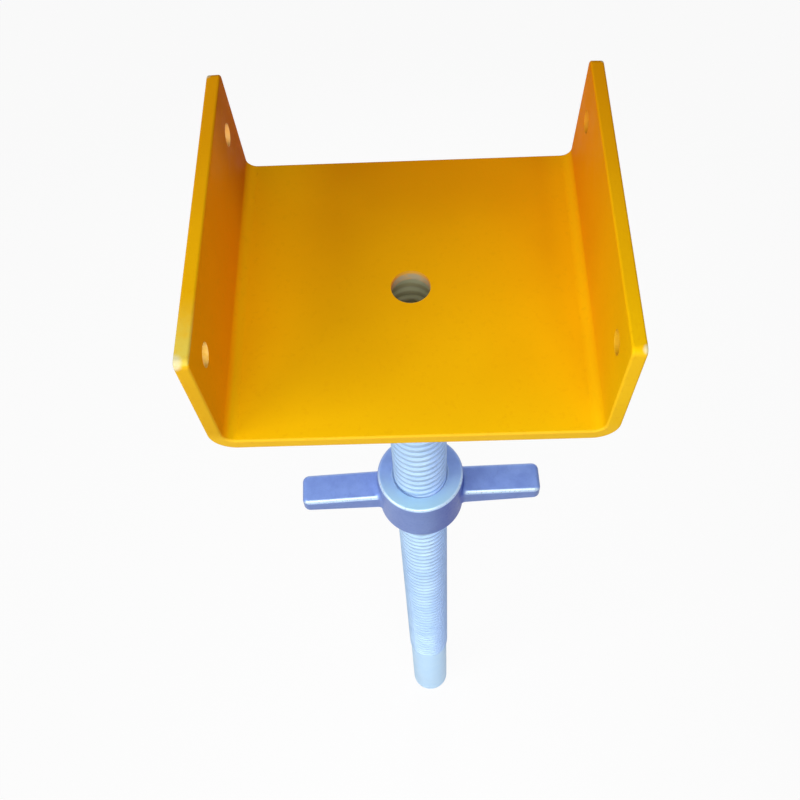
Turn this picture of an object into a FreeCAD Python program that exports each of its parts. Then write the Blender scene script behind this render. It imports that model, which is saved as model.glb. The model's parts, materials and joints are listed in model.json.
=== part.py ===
import FreeCAD, Part
import math
import os

# U-head jack: a folded plate head on a threaded tube stem, with a cast wing nut on the thread.
# Millimetres. The stem stands on the origin and runs along +Z. The head's channel runs along Y.

# Head: one plate, folded up at both sides
HEAD_WIDTH = 165.0          # outside to outside, where the uprights meet the underside
HEAD_DEPTH = 150.0          # along the channel
HEAD_HEIGHT = 64.0          # underside to the tops of the uprights
PLATE = 6.0                 # plate thickness
BEND_RADIUS = 5.0           # inside of each fold
FLARE = 2.5                 # degrees that each upright leans outwards
CORNER_RADIUS = 3.0         # top corners of the uprights, seen from the side
PLATE_EDGE = 1.0            # rounding of the plate's sheared edges
SEAT_HOLE_DIA = 17.5        # hole in the middle of the seat
NAIL_HOLE_DIA = 10.0        # holes in the uprights
NAIL_HOLE_SPACING = 115.0   # between the two holes of one upright
NAIL_HOLE_DROP = 20.0       # below the tops of the uprights

# Stem: a tube with a rolled right-hand thread
STEM_LENGTH = 600.0         # foot to the underside of the head
THREAD_DIA = 31.5           # over the crests
THREAD_PITCH = 6.0
THREAD_DEPTH = 1.5          # crest to root, on the radius
CREST_WIDTH = 2.0           # along the stem
FLANK_WIDTH = 1.0           # along the stem, from root to crest
PLAIN_DIA = 30.0            # plain tube: the tail below the thread, and the neck in the weld
TAIL_LENGTH = 100.0         # foot to the start of the thread
STEM_BORE = 21.0            # inside of the tube
FOOT_ROUND = 2.0            # outer edge of the foot
FOOT_BREAK = 0.8            # inner edge of the foot

# Weld between the stem and the head
WELD_LEG = 6.0              # along the plate and along the stem
WELD_CROWN = 0.8            # how far the weld's face stands out from a straight line

# Wing nut: one casting, a collar with two bar wings
COLLAR_DIA = 51.0
COLLAR_HEIGHT = 35.0
COLLAR_EDGE = 2.0           # rounding of the collar's two rims
BORE_CLEARANCE = 0.3        # between the crests and the nut's bore, on the radius
BORE_CHAMFER = 0.8          # lead-in at both ends of the bore
WING_SPAN = 143.0           # tip to tip
WING_WIDTH = 19.2           # seen from above
WING_TIP_THICKNESS = 11.2
WING_ROOT_THICKNESS = 14.2  # at the collar's outside
WING_DROP = 19.2            # collar's top to the middle of the wings
WING_EDGE = 2.6             # rounding of the wings' long edges
WING_TIP_RADIUS = 4.0       # corners of the tips, seen from above
WING_FILLET = 4.0           # where a wing grows out of the collar
NUT_DROP = 177.0            # underside of the head to the collar's top
NUT_TURN = 2.0              # degrees that the wings stand turned about the stem

X_AXIS = FreeCAD.Vector(1, 0, 0)
Y_AXIS = FreeCAD.Vector(0, 1, 0)
Z_AXIS = FreeCAD.Vector(0, 0, 1)
ORIGIN = FreeCAD.Vector(0, 0, 0)
NEAR = 0.01                 # two places closer than this count as the same
TURN_POINTS = 16            # places that one turn of a helix is drawn through


def arc(start, middle, end):
    """Circular edge through three points."""
    return Part.Arc(start, middle, end).toShape()


def line(start, end):
    """Straight edge between two points."""
    return Part.LineSegment(start, end).toShape()


def closed_wire(points):
    """Straight-sided closed outline."""
    return Part.makePolygon(points + points[:1])


def revolved(points):
    """Solid of revolution about Z from an outline of (radius, z) points."""
    outline = closed_wire([FreeCAD.Vector(r, 0, z) for r, z in points])
    return Part.Face(outline).revolve(ORIGIN, Z_AXIS, 360)


def fold_section():
    """Section of the folded plate in the XZ plane, with its underside at z = STEM_LENGTH."""
    lean = math.radians(FLARE)
    sine, cosine = math.sin(lean), math.cos(lean)
    outer = BEND_RADIUS + PLATE
    # Centre of the right-hand fold: the upright's outer face is one outer radius away from it
    centre_x = HEAD_WIDTH / 2 - (outer - sine * outer) / cosine
    centre_z = outer
    rise = (HEAD_HEIGHT - centre_z + BEND_RADIUS * sine) / cosine

    def point(side, radius, angle, along=0.0):
        """Point of a fold at an angle below level, then moved up the upright by a distance."""
        x = centre_x + radius * math.cos(angle) + along * sine
        z = centre_z - radius * math.sin(angle) + along * cosine
        return FreeCAD.Vector(side * x, 0, STEM_LENGTH + z)

    flat = math.pi / 2
    halfway = (flat + lean) / 2
    edges = [line(point(-1, outer, flat), point(1, outer, flat))]
    edges.append(line(point(1, BEND_RADIUS, flat), point(-1, BEND_RADIUS, flat)))
    for side in (1, -1):
        for radius in (outer, BEND_RADIUS):
            turn = [point(side, radius, angle) for angle in (flat, halfway, lean)]
            edges.append(arc(*turn))
            edges.append(line(point(side, radius, lean), point(side, radius, lean, rise)))
        edges.append(line(point(side, outer, lean, rise), point(side, BEND_RADIUS, lean, rise)))
    return Part.Face(Part.Wire(Part.__sortEdges__(edges)))


def u_head():
    """Folded head with rounded corners, eased edges, a seat hole and four nail holes."""
    plate = fold_section().extrude(Y_AXIS * HEAD_DEPTH)
    plate.translate(Y_AXIS * (-HEAD_DEPTH / 2))

    # Top corners of the uprights: the short edges across the plate at both ends
    def is_corner(edge):
        middle = edge.CenterOfMass
        return edge.Length < PLATE + NEAR and abs(abs(middle.y) - HEAD_DEPTH / 2) < NEAR

    plate = plate.makeFillet(CORNER_RADIUS, [edge for edge in plate.Edges if is_corner(edge)])

    # Sheared outline: every edge where two faces meet squarely, which leaves the folds' smooth lines alone
    def is_sheared(edge):
        faces = plate.ancestorsOfType(edge, Part.Face)
        normals = [face.normalAt(*face.Surface.parameter(edge.CenterOfMass)) for face in faces]
        return normals[0].getAngle(normals[1]) > math.radians(45)

    plate = plate.makeFillet(PLATE_EDGE, [edge for edge in plate.Edges if is_sheared(edge)])

    seat_hole = Part.makeCylinder(
        SEAT_HOLE_DIA / 2, 3 * PLATE, FreeCAD.Vector(0, 0, STEM_LENGTH - PLATE), Z_AXIS)
    plate = plate.cut(seat_hole)
    for y in (-NAIL_HOLE_SPACING / 2, NAIL_HOLE_SPACING / 2):
        start = FreeCAD.Vector(-HEAD_WIDTH, y, STEM_LENGTH + HEAD_HEIGHT - NAIL_HOLE_DROP)
        plate = plate.cut(Part.makeCylinder(NAIL_HOLE_DIA / 2, 2 * HEAD_WIDTH, start, X_AXIS))
    return plate


def helix_turn(radius, height):
    """One right-hand turn of a helix about Z, from a height over the +X axis."""
    shares = [step / TURN_POINTS for step in range(TURN_POINTS + 1)]
    points = []
    for share in shares:
        angle = 2 * math.pi * share
        level = height + THREAD_PITCH * share
        points.append(FreeCAD.Vector(radius * math.cos(angle), radius * math.sin(angle), level))
    along = FreeCAD.Vector(0, 2 * math.pi * radius, THREAD_PITCH)
    curve = Part.BSplineCurve()
    curve.interpolate(
        Points=points, Parameters=shares, InitialTangent=along, FinalTangent=along, Scale=False)
    return curve.toShape()


def thread_skin(low, high):
    """Helical skin of the thread that reaches past two heights: flank, crest, flank and root for each turn."""
    crest = THREAD_DIA / 2
    root = crest - THREAD_DEPTH
    half_root = (THREAD_PITCH - CREST_WIDTH - 2 * FLANK_WIDTH) / 2
    rim = half_root + FLANK_WIDTH
    profile = [
        (root, half_root),
        (crest, rim),
        (crest, rim + CREST_WIDTH),
        (root, THREAD_PITCH - half_root),
        (root, THREAD_PITCH + half_root),
    ]
    lines = [helix_turn(radius, height) for radius, height in profile]
    strips = [Part.makeRuledSurface(below, above) for below, above in zip(lines, lines[1:])]
    # A turn climbs one pitch and is about one pitch wide, so two more below and one above cover the ends
    turns = math.ceil((high - low) / THREAD_PITCH)
    faces = []
    for number in range(-2, turns + 1):
        lift = Z_AXIS * (low + number * THREAD_PITCH)
        faces.extend(strip.translated(lift) for strip in strips)
    skin = Part.makeShell(faces)
    skin.sewShape()
    return skin


def threaded_rod(low, high):
    """Solid rod with the thread between two heights, bevelled at both ends from the plain tube outwards."""
    outside = THREAD_DIA
    bevel = outside - PLAIN_DIA / 2
    blank = revolved([
        (0, low),
        (PLAIN_DIA / 2, low),
        (outside, low + bevel),
        (outside, high - bevel),
        (PLAIN_DIA / 2, high),
        (0, high),
    ])
    # The joint line of the blank is turned away from the skin's own
    blank.rotate(ORIGIN, Z_AXIS, 90)
    pieces, _ = blank.generalFuse([thread_skin(low, high)])
    middle = Z_AXIS * ((low + high) / 2)
    rod, = [piece for piece in pieces.Solids if piece.isInside(middle, NEAR, True)]
    return rod


def stem():
    """Tube from the foot to the underside of the head: plain tail, thread, and a plain neck in the weld."""
    neck_start = STEM_LENGTH - WELD_LEG
    tail = Part.makeCylinder(PLAIN_DIA / 2, TAIL_LENGTH)
    foot_edges = [edge for edge in tail.Edges if edge.Closed and edge.CenterOfMass.z < FOOT_ROUND]
    tail = tail.makeFillet(FOOT_ROUND, foot_edges)
    neck = Part.makeCylinder(PLAIN_DIA / 2, WELD_LEG, Z_AXIS * neck_start)
    bore = revolved([
        (0, 0),
        (STEM_BORE / 2 + FOOT_BREAK, 0),
        (STEM_BORE / 2, FOOT_BREAK),
        (STEM_BORE / 2, STEM_LENGTH),
        (0, STEM_LENGTH),
    ])
    return threaded_rod(TAIL_LENGTH, neck_start).fuse([tail, neck]).cut(bore)


def weld():
    """Fillet weld around the stem's neck, under the head, with a slightly crowned face."""
    inner = PLAIN_DIA / 2
    corner = FreeCAD.Vector(inner, 0, STEM_LENGTH)
    on_plate = FreeCAD.Vector(inner + WELD_LEG, 0, STEM_LENGTH)
    on_stem = FreeCAD.Vector(inner, 0, STEM_LENGTH - WELD_LEG)
    crown = (on_plate + on_stem) * 0.5 + FreeCAD.Vector(1, 0, -1).normalize() * WELD_CROWN
    section = Part.Wire([line(corner, on_plate), arc(on_plate, crown, on_stem), line(on_stem, corner)])
    return Part.Face(section).revolve(ORIGIN, Z_AXIS, 360)


def wing(side):
    """One wing: a bar that thins towards its tip, rounded all along, from the stem's axis outwards."""
    tip_x = WING_SPAN / 2
    thinning = (WING_ROOT_THICKNESS - WING_TIP_THICKNESS) / (tip_x - COLLAR_DIA / 2)
    axis_half = (WING_TIP_THICKNESS + thinning * tip_x) / 2
    tip_half = WING_TIP_THICKNESS / 2
    profile = closed_wire([
        FreeCAD.Vector(0, -WING_WIDTH / 2, -axis_half),
        FreeCAD.Vector(side * tip_x, -WING_WIDTH / 2, -tip_half),
        FreeCAD.Vector(side * tip_x, -WING_WIDTH / 2, tip_half),
        FreeCAD.Vector(0, -WING_WIDTH / 2, axis_half),
    ])
    bar = Part.Face(profile).extrude(Y_AXIS * WING_WIDTH)

    # Corners of the tip, seen from above: the two upright edges at the far end
    def is_tip_corner(edge):
        middle = edge.CenterOfMass
        at_tip = abs(middle.x - side * tip_x) < NEAR
        return at_tip and abs(abs(middle.y) - WING_WIDTH / 2) < NEAR

    bar = bar.makeFillet(WING_TIP_RADIUS, [edge for edge in bar.Edges if is_tip_corner(edge)])

    # Rims of the upper and lower faces, apart from the ends on the stem's axis
    def is_rim(edge):
        middle = edge.CenterOfMass
        return abs(middle.z) > tip_half - NEAR and abs(middle.x) > NEAR

    return bar.makeFillet(WING_EDGE, [edge for edge in bar.Edges if is_rim(edge)])


def wing_nut():
    """Collar and wings as one casting, bored to run over the thread's crests."""
    collar = Part.makeCylinder(COLLAR_DIA / 2, COLLAR_HEIGHT, FreeCAD.Vector(0, 0, -COLLAR_HEIGHT))
    collar = collar.makeFillet(COLLAR_EDGE, [edge for edge in collar.Edges if edge.Closed])
    # The round side's joint line is turned away from both wings
    collar.rotate(ORIGIN, Z_AXIS, 90)
    wings = [wing(side) for side in (1, -1)]
    for bar in wings:
        bar.translate(FreeCAD.Vector(0, 0, -WING_DROP))
    body = collar.fuse(wings).removeSplitter()

    # Roots of the wings: the edges that lie on the collar's round side, where a wing leaves it
    def is_root(edge):
        middle = edge.valueAt((edge.FirstParameter + edge.LastParameter) / 2)
        on_side = abs(math.hypot(middle.x, middle.y) - COLLAR_DIA / 2) < NEAR
        at_wing = abs(middle.y) < WING_WIDTH / 2 + NEAR
        between_rims = -COLLAR_HEIGHT + COLLAR_EDGE + NEAR < middle.z < -COLLAR_EDGE - NEAR
        return on_side and at_wing and between_rims

    roots = [edge for edge in body.Edges if is_root(edge)]
    body = body.makeFillet(WING_FILLET, roots)

    bore_radius = THREAD_DIA / 2 + BORE_CLEARANCE
    mouth_radius = bore_radius + BORE_CHAMFER
    body = body.cut(revolved([
        (0, -COLLAR_HEIGHT),
        (mouth_radius, -COLLAR_HEIGHT),
        (bore_radius, -COLLAR_HEIGHT + BORE_CHAMFER),
        (bore_radius, -BORE_CHAMFER),
        (mouth_radius, 0),
        (0, 0),
    ]))
    body.rotate(ORIGIN, Z_AXIS, NUT_TURN)
    body.translate(Z_AXIS * (STEM_LENGTH - NUT_DROP))
    return body


NODES = {
    "u_head": u_head,
    "stem": stem,
    "weld": weld,
    "wing_nut": wing_nut,
}

os.makedirs("parts", exist_ok=True)
for name, make in NODES.items():
    solid, = make().Solids
    solid.exportStep(f"parts/{name}.step")
    print(name, "valid" if solid.isValid() else "not valid", "volume", round(solid.Volume), "mm3")
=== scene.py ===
import json
import math

import bmesh
import bpy
import numpy as np
from mathutils import Matrix, Vector


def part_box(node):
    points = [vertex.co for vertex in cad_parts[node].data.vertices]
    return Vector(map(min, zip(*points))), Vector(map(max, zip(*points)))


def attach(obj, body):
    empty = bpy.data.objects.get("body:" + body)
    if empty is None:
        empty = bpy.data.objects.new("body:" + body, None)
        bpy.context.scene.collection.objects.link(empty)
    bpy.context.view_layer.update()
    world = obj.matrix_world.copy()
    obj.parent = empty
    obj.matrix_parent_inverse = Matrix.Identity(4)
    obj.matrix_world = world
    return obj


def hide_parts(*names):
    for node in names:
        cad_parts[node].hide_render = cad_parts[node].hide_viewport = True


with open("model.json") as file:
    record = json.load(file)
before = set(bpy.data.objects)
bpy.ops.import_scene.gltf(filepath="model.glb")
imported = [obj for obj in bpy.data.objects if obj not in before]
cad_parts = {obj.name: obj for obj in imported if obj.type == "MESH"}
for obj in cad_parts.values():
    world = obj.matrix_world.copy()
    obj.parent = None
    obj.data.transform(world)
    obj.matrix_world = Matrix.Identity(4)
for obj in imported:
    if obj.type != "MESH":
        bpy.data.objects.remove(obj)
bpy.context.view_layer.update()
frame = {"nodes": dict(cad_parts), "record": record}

nodes = frame["nodes"]
mounts = {mount["name"]: mount for mount in frame["record"]["mounts"]}
MM = 0.001

# Places read from the frame, in metres
STEM_LOW, STEM_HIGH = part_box("stem")
HEAD_LOW, HEAD_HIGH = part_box("u_head")
WELD_LOW, WELD_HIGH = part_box("weld")
NUT_LOW, NUT_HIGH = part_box("wing_nut")
CREST_RADIUS = STEM_HIGH.x
TAIL_RADIUS = mounts["stem_tail"]["dims"]["r_mm"] * MM
STEM_TOP = STEM_HIGH.z
SEAT_TOP = mounts["seat"]["pos_m"][2]
NAIL_HOLES = mounts["nail_holes_right"]
NAIL_HOLE_RADIUS = NAIL_HOLES["dims"]["hole_r_mm"] * MM
NAIL_HOLE_Y = NAIL_HOLES["dims"]["spacing_x_mm"] / 2 * MM
NAIL_HOLE_Z = NAIL_HOLES["pos_m"][2]

# Rolled thread: its crests stand as far above the plain tube as its roots lie below it
PITCH = 6.0 * MM
ROOT_RADIUS = 2 * TAIL_RADIUS - CREST_RADIUS
THREAD_START = 100.0 * MM
THREAD_END = WELD_LOW.z
RUN_OUT = 1.5 * PITCH
CREST_SHARE = 0.34            # share of the pitch that is crest, and as much again is root
BORE_RADIUS = 10.5 * MM
BORE_RIPPLE = 0.3 * MM        # the rolling marks the inside of the tube as well
FOOT_ROUND = 2.0 * MM
FOOT_BREAK = 0.8 * MM
FOOT_STEPS = 6                # along the foot's rounding
AROUND = 64                   # segments around the stem
THREAD_POINTS = 10            # along one pitch of a thread
BORE_POINTS = 6               # along one pitch of its trace in the bore

# Thread inside the nut
THREAD_CLEARANCE = 0.3 * MM
NUT_GROOVE_RADIUS = CREST_RADIUS + 2 * THREAD_CLEARANCE
NUT_SLEEVE_RADIUS = CREST_RADIUS + 2.0 * MM
NUT_THREAD_INSET = 0.5 * MM   # from the collar's faces
NUT_THREAD_LEAD = 0.4 * PITCH

# Wing nut: a round collar and two bars that thin towards their tips
COLLAR_RADIUS = 25.5 * MM
COLLAR_EDGE = 2.0 * MM
WING_TURN = 2.0               # degrees about the stem
WING_TIP = 71.5 * MM
WING_HALF_WIDTH = 9.6 * MM
WING_ROOT_HALF = 7.1 * MM
WING_TIP_HALF = 5.6 * MM
WING_EDGE = 2.6 * MM
WING_MIDDLE_Z = NUT_HIGH.z - 19.2 * MM

# Weld bead
WELD_RIPPLES = 26
WELD_RIPPLE_HEIGHT = 0.35 * MM
WELD_RIPPLE_STEPS = 8         # around one ripple
WELD_ACROSS = 9               # faces across the bead
WELD_TRAIL = 2.2              # radians that a ripple trails at the sides of the bead
WELD_CROWN = 0.7 * MM
WELD_LEG_SHARE = 0.94         # of the solid's leg, which leaves room for the crown
WELD_WOBBLE = ((0.04, 3, 0.7), (0.03, 5, 2.1))  # share of the leg, waves around, phase

# Meshes, in metres and degrees
JOIN_DISTANCE = 1e-6
FLAT_HEIGHT = 1e-7
SHARP_ANGLE = 40.0

# Places on the head where the paint differs, as (from, to) in metres
FOLD_HEIGHT = (SEAT_TOP + 2.0 * MM, SEAT_TOP + 6.0 * MM)
BY_LEFT_FOLD = (-66.0 * MM, -30.0 * MM)
BY_RIGHT_FOLD = (60.0 * MM, 72.0 * MM)
TOP_EDGE = (HEAD_HIGH.z - 1.6 * MM, HEAD_HIGH.z - 0.7 * MM)
ABOVE_SEAT = (SEAT_TOP, SEAT_TOP + 8.0 * MM)
FRONT_END = (HEAD_LOW.y + 0.1 * MM, HEAD_LOW.y + 1.2 * MM)
FADED_END = (HEAD_LOW.y + 1.0 * MM, HEAD_LOW.y + 34.0 * MM)
SHEARED_DEPTH = (0.1 * MM, 1.2 * MM)
BELOW_RIM = (SEAT_TOP - 3.0 * MM, SEAT_TOP - 0.8 * MM)
LEFT_TO_RIGHT = (-1.0 * MM, 1.0 * MM)
SEAT_HOLE_RIM = (8.75 * MM, 9.0 * MM)
NAIL_HOLE_RIM = (NAIL_HOLE_RADIUS, NAIL_HOLE_RADIUS + 0.25 * MM)

# Chips at the head's top corners: side, end and reach
CHIP_INSET = 1.5 * MM
CHIP_DROP = 0.5 * MM
CHIPS = (
    (-1, HEAD_LOW.y, 4.4 * MM),
    (1, HEAD_LOW.y, 2.6 * MM),
    (-1, HEAD_HIGH.y, 2.6 * MM),
    (1, HEAD_HIGH.y, 2.0 * MM),
)

# Places on the stem and the nut where the plating differs, as (from, to) in metres
ROOT_BAND = (ROOT_RADIUS, CREST_RADIUS - 0.3 * MM)
STEM_SHADED_RIGHT = (2.0 * MM, 12.0 * MM)
STEM_INSIDE = (BORE_RADIUS + 0.5 * MM, BORE_RADIUS + 2.0 * MM)
TUBE_TOP_BAND = (STEM_TOP - 22.0 * MM, STEM_TOP)
COLLAR_SHADED_RIGHT = (1.0 * MM, COLLAR_RADIUS - 8.0 * MM)
COLLAR_END = (COLLAR_RADIUS + 0.5 * MM, COLLAR_RADIUS + 3.0 * MM)
WING_START = (COLLAR_RADIUS + 1.0 * MM, COLLAR_RADIUS + 3.0 * MM)
NUT_TOP_FACE = (NUT_HIGH.z - 0.35 * MM, NUT_HIGH.z - 0.05 * MM)
NUT_LOW_FACE = (NUT_LOW.z + 0.05 * MM, NUT_LOW.z + 0.35 * MM)
MACHINED_LIT_FRONT = (6.0 * MM, -COLLAR_RADIUS)
BORE_LIGHT_BAND = (CREST_RADIUS + 0.8 * MM, CREST_RADIUS + 1.6 * MM)
HIGHLIGHT_FRONT = (4.0 * MM, -5.0 * MM)
WEAR_HIGHLIGHT_EDGE = (0.2 * MM, 1.5 * MM)
WEAR_HIGHLIGHT_RIM = (0.2 * MM, 1.1 * MM)
SMOOTH_EDGE = (-0.8 * MM, 0.4 * MM)

# Camera, as the photograph was taken
CAMERA_PLACE = Vector((0.0072, -0.2757, 0.9761))
CAMERA_AIM = Vector((-0.0054, -0.0559, 0.6030))
CAMERA_ROLL = -4.46           # degrees that its right side is raised
CAMERA_LENS = 46.89           # millimetres
CAMERA_FRAME = 36.0           # millimetres across
CAMERA_NEAR = 0.01            # metres

# Floor and surroundings: what lights the object, and what the camera sees
SKY_LIGHT = 0.17
FLOOR_RADIUS = 20.0
FLOOR_SEGMENTS = 64
FLOOR_BOUNCE = 0.5            # grey for light on its way to the object
FLOOR_TONE = 0.9              # grey where it is seen
FLOOR_GLOW = 0.93             # share of plain white where it is seen, and the rest keeps the shadow


def smooth_step(value):
    """0 below 0, 1 above 1 and a soft change between."""
    value = np.clip(value, 0.0, 1.0)
    return value * value * (3.0 - 2.0 * value)


def new_object(name, mesh_data):
    """Object of the scene from a bmesh."""
    mesh = bpy.data.meshes.new(name)
    mesh_data.to_mesh(mesh)
    mesh_data.free()
    piece = bpy.data.objects.new(name, mesh)
    bpy.context.scene.collection.objects.link(piece)
    return piece


def new_piece(name, mesh_data, body):
    """Object from a bmesh, smooth but for its sharp edges, riding on a body."""
    bmesh.ops.recalc_face_normals(mesh_data, faces=mesh_data.faces)
    piece = new_object(name, mesh_data)
    for polygon in piece.data.polygons:
        polygon.use_smooth = True
    piece.data.set_sharp_from_angle(angle=math.radians(SHARP_ANGLE))
    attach(piece, body)
    return piece


def turned(radius, angle, height):
    """Place at a radius and an angle about the stem's axis."""
    return (radius * math.cos(angle), radius * math.sin(angle), height)


# Threads

def thread_profile(points):
    """Heights (0 root to 1 crest) over one pitch at evenly spread phases, with rounded corners."""
    phase = np.arange(points) / points
    from_crest = np.abs(phase - 0.5) * 2.0
    flank = 1.0 - CREST_SHARE * 2.0
    return phase, smooth_step((1.0 - CREST_SHARE - from_crest) / flank)


def standing(quads, levels):
    """Faces that aren't squeezed flat at a level rim."""
    return quads[np.ptp(levels[quads], axis=1) > FLAT_HEIGHT]


def helix_grid(radius_of, start, end, points):
    """Vertices and faces of a helical skin between two heights, with level rims at both ends.

    radius_of(height above the foot, thread height 0 to 1) gives the skin's radius.
    """
    phase, height = thread_profile(points)
    turns = int(math.ceil((end - start) / PITCH)) + 2
    steps = np.arange(turns * AROUND + 1)
    angle = steps * (2.0 * math.pi / AROUND)
    level = start - PITCH + steps[:, None] * (PITCH / AROUND) + phase[None, :] * PITCH
    level = np.clip(level, start, end)
    radius = radius_of(level, np.broadcast_to(height, level.shape))
    grid = np.stack([radius * np.cos(angle)[:, None], radius * np.sin(angle)[:, None], level], axis=2)
    index = np.arange(grid.shape[0] * points).reshape(grid.shape[0], points)
    quads = []
    # Each column joins the next, and the last joins the first of the turn above
    for column in range(points):
        if column + 1 < points:
            low, high = index[:, column], index[:, column + 1]
        else:
            low, high = index[:-AROUND, column], index[AROUND:, 0]
        quads.append(np.stack([low[:-1], low[1:], high[1:], high[:-1]], axis=1))
    return grid.reshape(-1, 3), standing(np.concatenate(quads), level.reshape(-1))


def ring(mesh_data, radius, height):
    """Ring of vertices around the stem's axis."""
    found = []
    for step in range(AROUND):
        angle = step * 2.0 * math.pi / AROUND
        found.append(mesh_data.verts.new(turned(radius, angle, height)))
    return found


def lathe(mesh_data, outline):
    """Skin of revolution through (radius, height) points."""
    rings = [ring(mesh_data, radius, height) for radius, height in outline]
    for low, high in zip(rings, rings[1:]):
        for step in range(AROUND):
            after = (step + 1) % AROUND
            mesh_data.faces.new((low[step], low[after], high[after], high[step]))


def add_grid(mesh_data, vertices, quads):
    """Adds a helical skin, made of numpy arrays, to a bmesh."""
    made = [mesh_data.verts.new(place) for place in vertices]
    for quad in quads:
        mesh_data.faces.new([made[corner] for corner in quad])


def joined(mesh_data):
    """Merges the rims of neighbouring skins and drops what is left loose."""
    bmesh.ops.remove_doubles(mesh_data, verts=mesh_data.verts, dist=JOIN_DISTANCE)
    bmesh.ops.dissolve_degenerate(mesh_data, edges=mesh_data.edges, dist=FLAT_HEIGHT)
    loose = [vertex for vertex in mesh_data.verts if not vertex.link_faces]
    bmesh.ops.delete(mesh_data, geom=loose, context="VERTS")


def run_in(level, start, end, length):
    """0 at both ends of a thread, 1 along it."""
    return smooth_step((level - start) / length) * smooth_step((end - level) / length)


def thread_radius(level, height):
    """Radius of the stem's outside."""
    full = ROOT_RADIUS + (CREST_RADIUS - ROOT_RADIUS) * height
    return TAIL_RADIUS + (full - TAIL_RADIUS) * run_in(level, THREAD_START, THREAD_END, RUN_OUT)


def bore_radius(level, height):
    """Radius of the tube's inside, which shows the thread faintly."""
    return BORE_RADIUS + BORE_RIPPLE * (height - 0.5) * run_in(level, THREAD_START, THREAD_END, RUN_OUT)


def threaded_stem():
    """Tube with a rolled thread outside, its faint trace inside, and a rounded foot."""
    mesh_data = bmesh.new()
    foot_arc = []
    for step in range(FOOT_STEPS + 1):
        angle = math.pi / 2 * step / FOOT_STEPS
        foot_arc.append((
            TAIL_RADIUS - FOOT_ROUND + FOOT_ROUND * math.sin(angle),
            FOOT_ROUND - FOOT_ROUND * math.cos(angle),
        ))
    lathe(mesh_data, [
        (BORE_RADIUS, THREAD_START),
        (BORE_RADIUS, FOOT_BREAK),
        (BORE_RADIUS + FOOT_BREAK, 0.0),
        *foot_arc,
        (TAIL_RADIUS, THREAD_START),
    ])
    lathe(mesh_data, [
        (TAIL_RADIUS, THREAD_END),
        (TAIL_RADIUS, STEM_TOP),
        (BORE_RADIUS, STEM_TOP),
        (BORE_RADIUS, THREAD_END),
    ])
    add_grid(mesh_data, *helix_grid(thread_radius, THREAD_START, THREAD_END, THREAD_POINTS))
    add_grid(mesh_data, *helix_grid(bore_radius, THREAD_START, THREAD_END, BORE_POINTS))
    joined(mesh_data)
    piece = new_piece("stem_threaded", mesh_data, "jack")
    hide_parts("stem")
    return piece


def nut_thread():
    """Ridge inside the nut's bore that runs in the stem's groove."""
    start = NUT_LOW.z + NUT_THREAD_INSET
    end = NUT_HIGH.z - NUT_THREAD_INSET

    def ridge_radius(level, height):
        """Radius of the ridge, which runs out into the nut's wall at both ends."""
        share = run_in(np.clip(level, start, end), start, end, NUT_THREAD_LEAD)
        ridge = ROOT_RADIUS + (CREST_RADIUS - ROOT_RADIUS) * height + THREAD_CLEARANCE
        return NUT_GROOVE_RADIUS + np.minimum(ridge - NUT_GROOVE_RADIUS, 0.0) * share

    mesh_data = bmesh.new()
    # The ridge starts from the same turn as the stem's thread, so that the two mesh
    first = THREAD_START + math.floor((start - THREAD_START) / PITCH) * PITCH
    last = first + math.ceil((end - first) / PITCH) * PITCH
    vertices, quads = helix_grid(ridge_radius, first, last, THREAD_POINTS)
    vertices[:, 2] = np.clip(vertices[:, 2], start, end)
    add_grid(mesh_data, vertices, standing(quads, vertices[:, 2]))
    lathe(mesh_data, [
        (NUT_GROOVE_RADIUS, end),
        (NUT_SLEEVE_RADIUS, end),
        (NUT_SLEEVE_RADIUS, start),
        (NUT_GROOVE_RADIUS, start),
    ])
    joined(mesh_data)
    return new_piece("nut_thread", mesh_data, "nut")


# Weld

def weld_section(angle):
    """(radius, height) points around the bead's section: its rippled face, then its hidden back."""
    wobble = sum(depth * math.sin(waves * angle + phase) for depth, waves, phase in WELD_WOBBLE)
    leg = (WELD_HIGH.x - TAIL_RADIUS) * (WELD_LEG_SHARE + wobble)
    points = []
    for column in range(WELD_ACROSS + 1):
        share = column / WELD_ACROSS
        arch = math.sin(math.pi * share)
        # Ripples trail behind the middle of the bead, as the pool freezes
        turn = angle * WELD_RIPPLES + WELD_TRAIL * (2.0 * share - 1.0) ** 2
        ripple = (0.5 + 0.5 * math.cos(turn)) ** 2 * WELD_RIPPLE_HEIGHT * arch
        crown = (WELD_CROWN * arch + ripple) * math.sqrt(0.5)
        points.append((TAIL_RADIUS + leg * share + crown, STEM_TOP - leg * (1.0 - share) - crown))
    points.append((ROOT_RADIUS, STEM_TOP))
    points.append((ROOT_RADIUS, points[0][1]))
    return points


def weld_bead():
    """Fillet weld with the ripples of a hand-run bead, round the top of the stem."""
    mesh_data = bmesh.new()
    around = WELD_RIPPLES * WELD_RIPPLE_STEPS
    rows = []
    for step in range(around):
        angle = step * 2.0 * math.pi / around
        section = weld_section(angle)
        rows.append([mesh_data.verts.new(turned(radius, angle, height)) for radius, height in section])
    for step, here in enumerate(rows):
        there = rows[(step + 1) % around]
        for column in range(len(here)):
            after = (column + 1) % len(here)
            mesh_data.faces.new((here[column], there[column], there[after], here[after]))
    piece = new_piece("weld_bead", mesh_data, "jack")
    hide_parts("weld")
    return piece


# Materials

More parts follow.
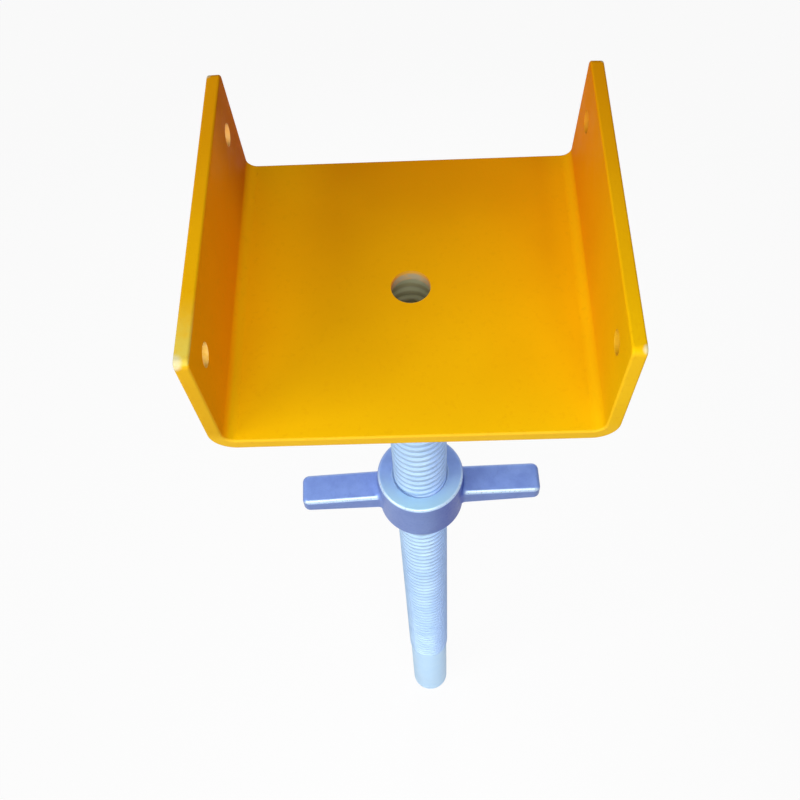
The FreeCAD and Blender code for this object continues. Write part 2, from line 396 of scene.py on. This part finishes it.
class Nodes:
    """Short hand for a node tree."""

    def __init__(self, tree):
        self.tree = tree

    def add(self, kind, inputs=None, **settings):
        """New node; inputs maps a socket's name or number to a value or to another node's socket."""
        node = self.tree.nodes.new(kind)
        for key, value in settings.items():
            setattr(node, key, value)
        for key, value in (inputs or {}).items():
            self.put(node.inputs[key], value)
        return node

    def put(self, socket, value):
        """Links a socket, or sets its value."""
        if isinstance(value, bpy.types.NodeSocket):
            self.tree.links.new(value, socket)
        else:
            socket.default_value = value

    def set(self, **inputs):
        """Inputs of the Principled shader, with _ for a space in their names."""
        shader = self.tree.nodes["Principled BSDF"]
        for key, value in inputs.items():
            self.put(shader.inputs[key.replace("_", " ")], value)

    def place(self):
        """Position in the part's own frame."""
        return self.add("ShaderNodeTexCoord").outputs["Object"]

    def normal(self):
        """Direction that the surface faces."""
        return self.add("ShaderNodeNewGeometry").outputs["Normal"]

    def parts(self, vector):
        """The three components of a vector."""
        return self.add("ShaderNodeSeparateXYZ", {0: vector}).outputs

    def seen(self):
        """1 where the camera or a reflection looks, and 0 for light on its way to the object."""
        rays = self.add("ShaderNodeLightPath").outputs
        return self.most(rays["Is Camera Ray"], rays["Is Glossy Ray"], rays["Is Transmission Ray"])

    def noise(self, place, scale, detail=3.0, rough=0.55):
        """Noise value from 0 to 1 with features of about 1 / scale metres."""
        inputs = {"Vector": place, "Scale": scale, "Detail": detail, "Roughness": rough}
        return self.add("ShaderNodeTexNoise", inputs).outputs["Fac"]

    def spread(self, value, low, high, to_low=0.0, to_high=1.0):
        """Maps low..high to to_low..to_high with soft ends, held beyond them."""
        inputs = {0: value, 1: low, 2: high, 3: to_low, 4: to_high}
        return self.add("ShaderNodeMapRange", inputs, interpolation_type="SMOOTHSTEP").outputs[0]

    def spread_straight(self, value, low, high, to_low, to_high):
        """Maps low..high to to_low..to_high along a straight line, held at the ends."""
        inputs = {0: value, 1: low, 2: high, 3: to_low, 4: to_high}
        return self.add("ShaderNodeMapRange", inputs).outputs[0]

    def math(self, operation, *values):
        """Math node on values or sockets."""
        return self.add("ShaderNodeMath", dict(enumerate(values)), operation=operation).outputs[0]

    def times(self, first, *others):
        """Product of values or sockets."""
        for other in others:
            first = self.math("MULTIPLY", first, other)
        return first

    def most(self, first, *others):
        """Largest of values or sockets."""
        for other in others:
            first = self.math("MAXIMUM", first, other)
        return first

    def less(self, first, second):
        """Difference of two values or sockets."""
        return self.math("SUBTRACT", first, second)

    def size(self, value):
        """Value without its sign."""
        return self.math("ABSOLUTE", value)

    def reach(self, first, second):
        """Length of two square components."""
        first = self.math("POWER", first, 2.0)
        second = self.math("POWER", second, 2.0)
        return self.math("SQRT", self.math("ADD", first, second))

    def distance(self, first, second):
        """Distance between two places."""
        inputs = {0: first, 1: second}
        return self.add("ShaderNodeVectorMath", inputs, operation="DISTANCE").outputs["Value"]

    def mix(self, share, first, second):
        """Mix of two colours."""
        inputs = {"Factor": share, 6: first, 7: second}
        return self.add("ShaderNodeMix", inputs, data_type="RGBA").outputs[2]

    def bump(self, height, distance, strength=1.0, normal=None):
        """Bump whose height of 1 stands for a distance in metres."""
        inputs = {"Height": height, "Distance": distance, "Strength": strength}
        if normal:
            inputs["Normal"] = normal
        return self.add("ShaderNodeBump", inputs).outputs[0]


def new_material(name):
    """Material, and the short hand for its node tree."""
    material = bpy.data.materials.new(name)
    material.use_nodes = True
    return material, Nodes(material.node_tree)


def give_material(piece, material):
    """One material for the whole piece."""
    piece.data.materials.clear()
    piece.data.materials.append(material)


def colour(red, green, blue):
    """Linear colour from 0 to 255 screen values."""
    linear = []
    for value in (red, green, blue):
        share = value / 255.0
        linear.append(share / 12.92 if share <= 0.04045 else ((share + 0.055) / 1.055) ** 2.4)
    return (*linear, 1.0)


def grey(level):
    """Linear grey."""
    return (level, level, level, 1.0)


WHITE = grey(1.0)

# Enamel of the head
THIN_FRONT = colour(232, 180, 3)
THIN_BACK_SHADE = colour(227, 149, 1)
THICK_FRONT = colour(239, 188, 4)
THICK_BACK_SHADE = colour(233, 157, 2)
INNER_SHADE_ORANGE = colour(226, 108, 1)
LEFT_INNER_SHADE_ORANGE = colour(255, 158, 2)
BACK_CORNER_SHADE_BROWN = colour(156, 62, 1)
FOLD_LIGHT_YELLOW = colour(252, 191, 3)
SPECK_YELLOW = colour(222, 158, 2)
LEFT_SHADE_YELLOW = colour(188, 130, 12)
FADED_UNDERCOAT = colour(208, 200, 96)
CHIPPED_UNDERCOAT = colour(214, 208, 168)
SHEARED_PALE = colour(255, 236, 190)
SEAT_HOLE_BARE = colour(172, 166, 144)
NAIL_HOLE_LIGHT = colour(250, 226, 170)

# Zinc of the stem
STEM_DARK = colour(173, 204, 239)
STEM_LIGHT = colour(189, 218, 247)
STEM_ROOT_DARK = colour(130, 152, 196)
STEM_SHADE_BLUE = colour(178, 208, 255)
STEM_TAIL_LIT = colour(192, 227, 255)
TUBE_LIT = colour(255, 255, 214)
TUBE_TOP_DARK = colour(172, 174, 140)
TUBE_GROOVE = colour(150, 140, 98)

# Zinc of the nut
NUT_DARK = colour(125, 154, 231)
NUT_LIGHT = colour(139, 170, 243)
NUT_PIT = colour(108, 134, 208)
NUT_SIDE_SHADE = colour(112, 130, 184)
NUT_RIGHT_SHADE = colour(52, 78, 184)
NUT_MACHINED = colour(190, 236, 255)
NUT_BORE_LIGHT = colour(204, 232, 255)
NUT_WEAR_HIGHLIGHT = colour(204, 228, 250)


def paint_tone(tree, place, drift):
    """Enamel before wear, in uneven thickness, with painted shade: yellow in front and more orange towards
    the back.
    """
    x, y, z = tree.parts(place)
    # Painted shade: both tones turn more orange towards the back
    to_back = tree.spread_straight(y, HEAD_LOW.y, HEAD_HIGH.y, 0.0, 1.0)
    thin = tree.mix(to_back, THIN_FRONT, THIN_BACK_SHADE)
    thick = tree.mix(to_back, THICK_FRONT, THICK_BACK_SHADE)
    paint = tree.mix(tree.spread(drift, 0.3, 0.7), thin, thick)

    # Painted shade on the uprights' inner faces: a deeper orange towards the back, warmer on the left one,
    # and brown at its back end
    outward = tree.times(tree.parts(tree.normal())["X"], tree.math("SIGN", x))
    inner = tree.spread(outward, -0.95, -0.5, 1.0, 0.0)
    left_inner = tree.times(inner, tree.math("LESS_THAN", x, 0.0))
    paint = tree.mix(tree.times(inner, 0.45, to_back), paint, INNER_SHADE_ORANGE)
    left_inner_shade = tree.times(left_inner, tree.spread(to_back, 0.55, 0.85, 0.6, 0.0))
    paint = tree.mix(left_inner_shade, paint, LEFT_INNER_SHADE_ORANGE)
    back_corner_shade = tree.times(left_inner, tree.spread(to_back, 0.70, 0.95, 0.0, 0.45))
    paint = tree.mix(back_corner_shade, paint, BACK_CORNER_SHADE_BROWN)

    # Painted light: brighter yellow on the seat beside both folds, towards the back
    low = tree.spread(z, *FOLD_HEIGHT, 1.0, 0.0)
    by_left = tree.spread(x, *BY_LEFT_FOLD, 0.55, 0.0)
    by_right = tree.spread(x, *BY_RIGHT_FOLD, 0.0, 0.45)
    fold_light = tree.times(low, tree.most(by_left, by_right), tree.spread(to_back, 0.15, 0.45))
    paint = tree.mix(fold_light, paint, FOLD_LIGHT_YELLOW)
    speck = tree.noise(place, scale=420.0, detail=2.0)
    return tree.mix(tree.spread(speck, 0.55, 0.75, 0.0, 0.25), paint, SPECK_YELLOW)


def paint_wear(tree, place, ragged, paint):
    """Painted shade on the left upright's top and front end, its faded paint, chipped corners and pale
    sheared ends.
    """
    x, y, z = tree.parts(place)

    # Painted shade: the left upright is duller on its top and front end. Its paint fades to a pale undercoat
    # where they meet
    on_left = tree.math("LESS_THAN", x, 0.0)
    on_top = tree.spread(z, *TOP_EDGE)
    front_end = tree.times(tree.spread(y, *FRONT_END, 1.0, 0.0), tree.spread(z, *ABOVE_SEAT, 0.0, 0.4))
    left_end_shade = tree.most(front_end, tree.times(on_top, 0.2))
    paint = tree.mix(tree.times(left_end_shade, on_left), paint, LEFT_SHADE_YELLOW)
    to_front = tree.spread(y, *FADED_END, 1.0, 0.0)
    fade = tree.times(on_top, on_left, to_front, tree.spread(ragged, 0.2, 0.6, 0.5, 1.0), 0.65)
    paint = tree.mix(fade, paint, FADED_UNDERCOAT)

    # Chips: small knocks at the uprights' outer top corners, through to the undercoat
    knocks = []
    for side, end, reach in CHIPS:
        corner = (side * HEAD_HIGH.x, end + math.copysign(CHIP_INSET, -end), HEAD_HIGH.z - CHIP_DROP)
        knocks.append(tree.spread(tree.distance(place, corner), reach * 0.5, reach, 1.0, 0.0))
    chip = tree.times(tree.most(*knocks), tree.spread(ragged, 0.30, 0.55), 0.8)
    paint = tree.mix(chip, paint, CHIPPED_UNDERCOAT)

    # Paint lies thin and pale on the sheared ends
    from_end = tree.less(HEAD_HIGH.y, tree.size(y))
    sheared = tree.spread(from_end, *SHEARED_DEPTH, 1.0, 0.0)
    sheared = tree.times(sheared, tree.spread(z, *ABOVE_SEAT, 0.045, 0.02))
    return tree.mix(sheared, paint, SHEARED_PALE)


def paint_holes(tree, place, ragged, paint):
    """Painted light on the nail holes' walls, brightest on the left, and bare metal in the seat's hole below
    its rim.
    """
    x, y, z = tree.parts(place)
    seat_bare = tree.times(
        tree.spread(tree.reach(x, y), *SEAT_HOLE_RIM, 1.0, 0.0),
        tree.spread(ragged, 0.25, 0.6, 0.6, 1.0),
        tree.spread(z, *BELOW_RIM, 0.9, 0.15),
    )
    paint = tree.mix(seat_bare, paint, SEAT_HOLE_BARE)
    # Painted light on the nail holes' walls, brightest on the left
    nail_away = tree.reach(tree.less(tree.size(y), NAIL_HOLE_Y), tree.less(z, NAIL_HOLE_Z))
    nail_hole_light = tree.times(
        tree.spread(nail_away, *NAIL_HOLE_RIM, 1.0, 0.0),
        tree.spread(ragged, 0.25, 0.6, 0.15, 0.4),
        tree.spread(x, *LEFT_TO_RIGHT, 1.0, 0.15),
    )
    return tree.mix(nail_hole_light, paint, NAIL_HOLE_LIGHT)


def head_paint():
    """Yellow enamel on plate: slight orange peel, tone drift, painted shade and light, worn corners, painted
    light in the nail holes and bare metal in the seat's hole.
    """
    material, tree = new_material("head_paint")
    place = tree.place()
    drift = tree.noise(place, scale=14.0, detail=2.0)
    ragged = tree.noise(place, scale=300.0, detail=4.0, rough=0.6)
    paint = paint_tone(tree, place, drift)
    paint = paint_wear(tree, place, ragged, paint)
    paint = paint_holes(tree, place, ragged, paint)
    sheen = tree.noise(place, scale=60.0)
    peel = tree.bump(tree.noise(place, scale=650.0, detail=2.0), 0.05 * MM)
    tree.set(
        Base_Color=paint,
        Roughness=tree.spread(sheen, 0.3, 0.7, 0.60, 0.72),
        Specular_IOR_Level=0.04,
        Normal=tree.bump(drift, 0.6 * MM, 0.5, peel),
    )
    return material


def tube_tone(tree, x, y, height):
    """Inside of the tube: painted light makes it pale, darker towards its top, with a line along the thread's
    trace.
    """
    tube = tree.mix(tree.spread(height, *TUBE_TOP_BAND), TUBE_LIT, TUBE_TOP_DARK)
    turn = tree.math("DIVIDE", tree.math("ARCTAN2", y, x), 2.0 * math.pi)
    turns = tree.math("DIVIDE", tree.less(height, THREAD_START), PITCH)
    phase = tree.math("FRACT", tree.less(turns, turn))
    groove = tree.size(tree.less(phase, 0.5))
    return tree.mix(tree.spread(groove, 0.1, 0.4, 0.0, 0.6), tube, TUBE_GROOVE)


def stem_zinc():
    """Bright zinc over the thread, darker in the roots and less metallic inside the tube; painted shade makes
    its right side bluer, and painted light pales the tail and the tube's inside.
    """
    material, tree = new_material("stem_zinc")
    place = tree.place()
    x, y, height = tree.parts(place)
    radius = tree.reach(x, y)
    blotch = tree.noise(place, scale=45.0, detail=4.0)
    skin = tree.mix(tree.spread(blotch, 0.3, 0.7), STEM_DARK, STEM_LIGHT)
    # Darker towards the thread's roots, less so low on the stem
    root_dark = tree.times(
        tree.spread(radius, *ROOT_BAND, 1.0, 0.0),
        tree.spread(tree.noise(place, scale=160.0), 0.25, 0.75, 0.05, 0.22),
        tree.spread(height, THREAD_START, NUT_LOW.z, 0.3, 1.0),
    )
    skin = tree.mix(root_dark, skin, STEM_ROOT_DARK)
    # Painted shade: a bluer right side
    skin = tree.mix(tree.spread(x, *STEM_SHADED_RIGHT, 0.0, 0.8), skin, STEM_SHADE_BLUE)
    # Painted light: a paler tail below the thread
    tail = tree.spread(height, THREAD_START, THREAD_START + RUN_OUT, 0.8, 0.0)
    skin = tree.mix(tail, skin, STEM_TAIL_LIT)
    inside = tree.spread(radius, *STEM_INSIDE, 1.0, 0.0)
    skin = tree.mix(inside, skin, tube_tone(tree, x, y, height))
    tree.set(
        Base_Color=skin,
        Metallic=tree.spread(inside, 0.0, 1.0, 0.20, 0.0),
        Specular_IOR_Level=0.15,
        Roughness=tree.spread(tree.noise(place, scale=110.0), 0.3, 0.7, 0.40, 0.54),
        Normal=tree.bump(tree.noise(place, scale=900.0), 0.04 * MM),
    )
    return material


def rim_depth(tree, radius, z):
    """How far a place lies inside the rounding of the collar's rims."""
    from_middle = tree.size(tree.less(z, (NUT_LOW.z + NUT_HIGH.z) / 2))
    return tree.math(
        "MINIMUM",
        tree.less(radius, COLLAR_RADIUS - COLLAR_EDGE),
        tree.less(from_middle, (NUT_HIGH.z - NUT_LOW.z) / 2 - COLLAR_EDGE),
    )


def edge_depth(tree, x, y, z):
    """How far a place lies inside the rounding of the wings' long edges."""
    cosine = math.cos(math.radians(WING_TURN))
    sine = math.sin(math.radians(WING_TURN))
    along = tree.math("ADD", tree.times(x, cosine), tree.times(y, sine))
    across = tree.less(tree.times(y, cosine), tree.times(x, sine))
    half = tree.spread_straight(tree.size(along), COLLAR_RADIUS, WING_TIP, WING_ROOT_HALF, WING_TIP_HALF)
    above = tree.size(tree.less(z, WING_MIDDLE_Z))
    return tree.math(
        "MINIMUM",
        tree.less(tree.size(across), WING_HALF_WIDTH - WING_EDGE),
        tree.less(above, tree.less(half, WING_EDGE)),
    )


def nut_zinc():
    """Blue passivated zinc on a casting: soft pits of a sand mould, machined faces, edges worn bright with a
    painted highlight, painted shade on the sides and painted light on the collar's top front and bore edge.
    """
    material, tree = new_material("nut_zinc")
    place = tree.place()
    x, y, z = tree.parts(place)
    radius = tree.reach(x, y)
    blotch = tree.noise(place, scale=90.0, detail=4.0, rough=0.6)
    grain = tree.noise(place, scale=620.0, rough=0.6)
    skin = tree.mix(tree.spread(blotch, 0.3, 0.7), NUT_DARK, NUT_LIGHT)
    cast = tree.mix(tree.spread(grain, 0.5, 0.75, 0.0, 0.25), skin, NUT_PIT)

    # Painted shade: the upright sides are duller, and the right of the collar a deeper blue
    upright = tree.spread(tree.size(tree.parts(tree.normal())["Z"]), 0.25, 0.75, 0.5, 0.0)
    right_shade = tree.times(tree.spread(x, *COLLAR_SHADED_RIGHT), tree.spread(radius, *COLLAR_END, 1.0, 0.0))
    side_shade_tone = tree.mix(right_shade, NUT_SIDE_SHADE, NUT_RIGHT_SHADE)
    side_shade_share = tree.times(upright, tree.spread_straight(right_shade, 0.0, 1.0, 1.0, 1.6))
    cast = tree.mix(side_shade_share, cast, side_shade_tone)

    # Machined faces of the collar, with painted light making them palest towards the front, and painted light
    # on the bore's edge where the thread runs
    faced = tree.most(tree.spread(z, *NUT_TOP_FACE), tree.spread(z, *NUT_LOW_FACE, 1.0, 0.0))
    machined_lit = tree.mix(tree.spread(y, *MACHINED_LIT_FRONT, 0.1, 0.9), skin, NUT_MACHINED)
    skin = tree.mix(faced, cast, machined_lit)
    skin = tree.mix(tree.spread(radius, *BORE_LIGHT_BAND, 0.8, 0.0), skin, NUT_BORE_LIGHT)

    # Wear along the collar's rims and the wings' long edges, with a painted highlight on them, strongest
    # towards the front
    rim = rim_depth(tree, radius, z)
    edge = edge_depth(tree, x, y, z)
    on_wing = tree.spread(radius, *WING_START)
    edge_wear_highlight = tree.times(tree.spread(edge, *WEAR_HIGHLIGHT_EDGE), on_wing)
    rim_wear_highlight = tree.spread(rim, *WEAR_HIGHLIGHT_RIM, 0.0, 0.85)
    wear_and_highlight = tree.times(
        tree.most(rim_wear_highlight, edge_wear_highlight),
        tree.spread(y, *HIGHLIGHT_FRONT, 0.3, 1.0),
        tree.spread(blotch, 0.25, 0.5, 0.85, 1.0),
    )
    skin = tree.mix(wear_and_highlight, skin, NUT_WEAR_HIGHLIGHT)

    # Rounded edges are smooth wider than they are worn
    smooth_edge = tree.times(tree.spread(edge, *SMOOTH_EDGE), on_wing)
    smooth = tree.most(faced, tree.spread(rim, *SMOOTH_EDGE), smooth_edge)
    rough_skin = tree.spread(smooth, 0.0, 1.0, 0.5, 0.0)
    pits = tree.bump(grain, 0.10 * MM, rough_skin)
    roughness = tree.spread(grain, 0.3, 0.7, 0.32, 0.44)
    tree.set(
        Base_Color=skin,
        Metallic=tree.spread(smooth, 0.0, 1.0, 0.04, 0.30),
        Specular_IOR_Level=0.2,
        Roughness=tree.math("ADD", roughness, tree.times(wear_and_highlight, -0.08)),
        Normal=tree.bump(tree.noise(place, scale=150.0, detail=2.0), 0.35 * MM, rough_skin, pits),
    )
    return material


# Stage

def floor():
    """Pale floor under the foot: white to the camera, but it keeps the shadow. Clear from below."""
    mesh_data = bmesh.new()
    bmesh.ops.create_circle(mesh_data, cap_ends=True, radius=FLOOR_RADIUS, segments=FLOOR_SEGMENTS)
    piece = new_object("floor", mesh_data)
    piece.location.z = STEM_LOW.z
    material, tree = new_material("floor_white")
    seen = tree.seen()
    glow = tree.add("ShaderNodeEmission", {"Color": WHITE, "Strength": 1.0}).outputs[0]
    tone = tree.mix(seen, grey(FLOOR_BOUNCE), grey(FLOOR_TONE))
    paper = tree.add("ShaderNodeBsdfDiffuse", {"Color": tone}).outputs[0]
    glowing = tree.times(seen, FLOOR_GLOW)
    upper_side = tree.add("ShaderNodeMixShader", {0: glowing, 1: paper, 2: glow}).outputs[0]
    below = tree.add("ShaderNodeNewGeometry").outputs["Backfacing"]
    clear = tree.add("ShaderNodeBsdfTransparent").outputs[0]
    one_sided = tree.add("ShaderNodeMixShader", {0: below, 1: upper_side, 2: clear}).outputs[0]
    made = material.node_tree.nodes
    made.remove(made["Principled BSDF"])
    tree.put(made["Material Output"].inputs["Surface"], one_sided)
    give_material(piece, material)


def world_light():
    """Even pale surroundings, white where the camera or a reflection sees them."""
    world = bpy.data.worlds.new("studio")
    bpy.context.scene.world = world
    world.use_nodes = True
    tree = Nodes(world.node_tree)
    background = world.node_tree.nodes["Background"]
    background.inputs["Color"].default_value = WHITE
    tree.put(background.inputs["Strength"], tree.spread_straight(tree.seen(), 0.0, 1.0, SKY_LIGHT, 1.0))


def soft_box(name, place, aim, size, power, spread=180.0, glossy=True):
    """Square area lamp whose light spreads over an angle in degrees, with or without a reflection."""
    lamp = bpy.data.lights.new(name, "AREA")
    lamp.size = size
    lamp.energy = power
    lamp.spread = math.radians(spread)
    holder = bpy.data.objects.new(name, lamp)
    holder.location = place
    holder.rotation_euler = (Vector(aim) - Vector(place)).to_track_quat("-Z", "Y").to_euler()
    holder.visible_camera = False
    holder.visible_glossy = glossy
    bpy.context.scene.collection.objects.link(holder)


def lamps():
    """Soft light from the left and the front, a low lamp for the foot, and fill from behind and the right."""
    soft_box("key", place=(-0.70, -0.45, 1.00), aim=(0.0, 0.0, 0.58), size=0.5, power=4.5)
    soft_box("front", place=(0.0, -0.42, 0.96), aim=(0.0, 0.0, 0.50), size=0.5, power=2.9)
    soft_box("low", place=(-0.04, -0.55, 0.16), aim=(0.0, 0.0, 0.05), size=0.15, power=0.31, spread=80.0)
    soft_box("back", place=(0.0, 1.00, 0.40), aim=(0.0, 0.0, 0.40), size=0.4, power=1.6,
             spread=110.0, glossy=False)
    soft_box("side", place=(0.70, 0.05, 0.42), aim=(0.085, 0.0, 0.63), size=0.2, power=0.08,
             spread=40.0, glossy=False)


def camera():
    """Camera at the photograph's place."""
    data = bpy.data.cameras.new("camera")
    data.lens = CAMERA_LENS
    data.sensor_width = CAMERA_FRAME
    data.clip_start = CAMERA_NEAR
    holder = bpy.data.objects.new("camera", data)
    aim = (CAMERA_AIM - CAMERA_PLACE).to_track_quat("-Z", "Y").to_matrix()
    roll = Matrix.Rotation(math.radians(CAMERA_ROLL), 3, "Z")
    holder.matrix_world = Matrix.Translation(CAMERA_PLACE) @ (aim @ roll).to_4x4()
    bpy.context.scene.collection.objects.link(holder)
    bpy.context.scene.camera = holder


head_finish = head_paint()
stem_finish = stem_zinc()
nut_finish = nut_zinc()
give_material(threaded_stem(), stem_finish)
give_material(nut_thread(), nut_finish)
give_material(weld_bead(), head_finish)
give_material(nodes["u_head"], head_finish)
give_material(nodes["wing_nut"], nut_finish)

floor()
world_light()
lamps()
camera()
bpy.context.scene.view_settings.view_transform = "Standard"
